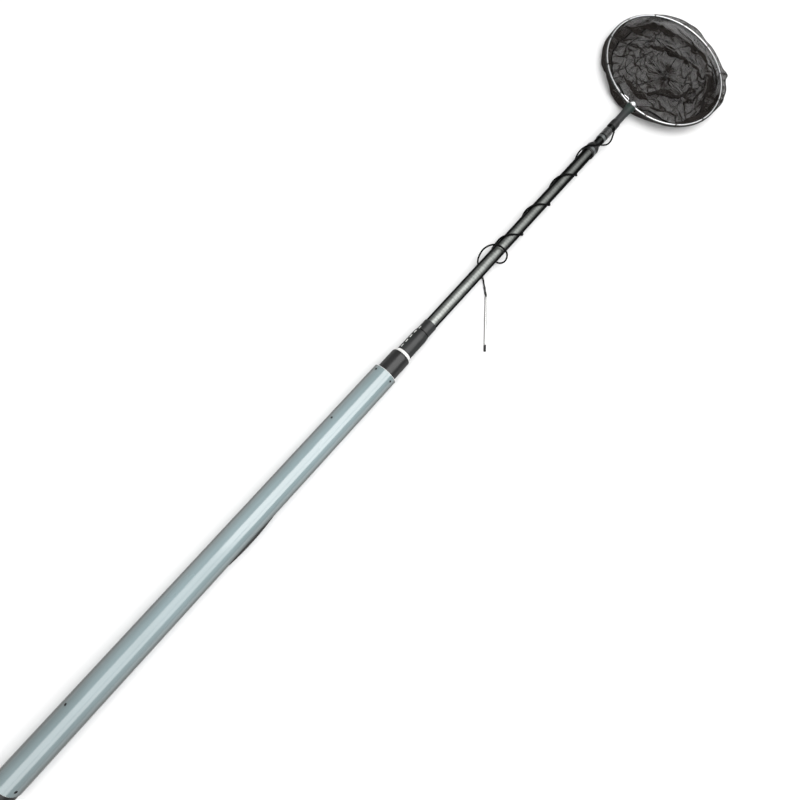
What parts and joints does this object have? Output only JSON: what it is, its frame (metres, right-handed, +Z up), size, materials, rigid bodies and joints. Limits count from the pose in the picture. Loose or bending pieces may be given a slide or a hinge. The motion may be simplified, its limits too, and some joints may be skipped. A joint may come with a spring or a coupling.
{
  "type": "leaf skimmer net",
  "caption": "Long-pole dip net with a wire hoop and fine mesh bag, a battery tube handle, a telescopic pole wound with a lead, and a trailing probe.",
  "frame": {"origin": "on the pole's axis at the rear cap's end face", "axes": "+X along the pole from the handle's rear end to the net, +Z up as the net lies on a floor, +Y to the left when looking along +X"},
  "size_m": [2.582, 0.407, 0.063],
  "materials": {
    "tube_plastic": "glossy pale blue-grey pipe plastic",
    "black_gloss": "glossy black moulding",
    "black_matte": "satin black",
    "black_rubber": "soft black rubber",
    "white_plastic": "white ring",
    "sleeve_black": "shrunk sleeve, satin",
    "carbon": "spirally wound carbon fibre under clear lacquer",
    "upper_carbon": "dark lacquered tube",
    "cable_black": "black insulated lead",
    "screw_black": "black oxide",
    "steel": "stainless wire and bar",
    "aluminium": "turned",
    "grey_band": "satin grey band",
    "neck_rubber": "dark grey-green rubber",
    "net_mesh": "fine black knotless mesh",
    "cord_black": "braided cord",
    "nylon": "natural nylon",
    "cell_wrap": "wrapped cell, light metal stands in for its mean density",
    "film_blue": "shrink film",
    "nickel": "plated strip",
    "board_green": "circuit board laminate",
    "board_dark": "moulded components",
    "lead_red": "red insulated lead",
    "rocker_red": "dark red rocker"
  },
  "bodies": {
    "handle": {"housing_tube": "tube_plastic", "front_screws": "screw_black", "rear_screws": "screw_black", "tray_screws": "screw_black", "rear_cap": "black_gloss", "rear_seal": "black_rubber", "front_collar": "black_gloss", "front_seal": "black_rubber", "white_ring": "white_plastic", "pole_sleeve": "sleeve_black", "inner_sleeve": "sleeve_black", "lower_pole": "carbon", "exit_grommets": "black_rubber", "end_fitting": "black_matte", "grip_collet": "nylon", "charge_jack": "black_matte", "jack_nut": "steel", "rocker_frame": "black_matte", "rocker_pin": "steel", "cover_pin": "steel", "battery_cells": "cell_wrap", "cell_spacers": "nylon", "bus_strips": "nickel", "pack_wrap": "film_blue", "end_plates": "nylon", "tray_rods": "steel", "anchor_blocks": "nylon", "board_carrier": "nylon", "control_board": "board_green", "board_parts": "board_dark", "board_screws": "steel", "battery_leads": "lead_red", "bar_cradle": "nylon", "bar_springs": "steel", "trigger_switch": "black_matte", "coil_cable": "cable_black", "probe_feed": "cable_black"},
    "charge_cover": {"socket_cover": "black_rubber"},
    "power_switch": {"power_rocker": "rocker_red"},
    "trigger": {"press_bar": "black_rubber"},
    "twist_lock": {"lock_collar": "black_gloss", "lock_band": "grey_band"},
    "upper_section": {"upper_pole": "upper_carbon", "tail_bush": "nylon", "clip_ring": "grey_band", "tape_band": "black_gloss", "lead_loop": "cable_black", "neck_ferrule": "black_gloss", "ferrule_insert": "aluminium"},
    "net_head": {"neck": "neck_rubber", "head_stud": "steel", "hoop": "steel", "hoop_lashings": "steel", "rim_cord": "cord_black", "rim_ties": "cord_black", "net_bag": "net_mesh", "toe_knot": "cord_black"},
    "trailing_probe": {"probe_lead": "cable_black", "probe_rod": "steel", "probe_tip": "black_matte"}
  },
  "joints": [
    {"name": "cover_swing", "type": "hinge", "parent": "handle", "child": "charge_cover", "pos_m": [0.0013, 0.013, 0.0104], "axis": [0, 1, 0], "range_deg": [0, 110]},
    {"name": "power_rocker_tilt", "type": "hinge", "parent": "handle", "child": "power_switch", "pos_m": [0.008, -0.013, 0], "axis": [0, 1, 0], "range_deg": [0, 16]},
    {"name": "trigger_press", "type": "slide", "parent": "handle", "child": "trigger", "axis": [0, 1, 0], "range_m": [0, 0.0025], "stiffness_N_per_m": 900, "springref_m": -0.002},
    {"name": "lock_twist", "type": "hinge", "parent": "handle", "child": "twist_lock", "pos_m": [1.987, 0, 0], "axis": [1, 0, 0], "range_deg": [0, 90]},
    {"name": "pole_extension", "type": "slide", "parent": "handle", "child": "upper_section", "axis": [1, 0, 0], "range_m": [0, 0.38]},
    {"name": "head_turn", "type": "hinge", "parent": "upper_section", "child": "net_head", "pos_m": [2.16, 0, 0], "axis": [1, 0, 0], "range_deg": [-90, 90]},
    {"name": "probe_swing", "type": "hinge", "parent": "handle", "child": "trailing_probe", "pos_m": [1.482, 0, -0.018], "axis": [0, 0, 1], "range_deg": [-60, 60]}
  ]
}
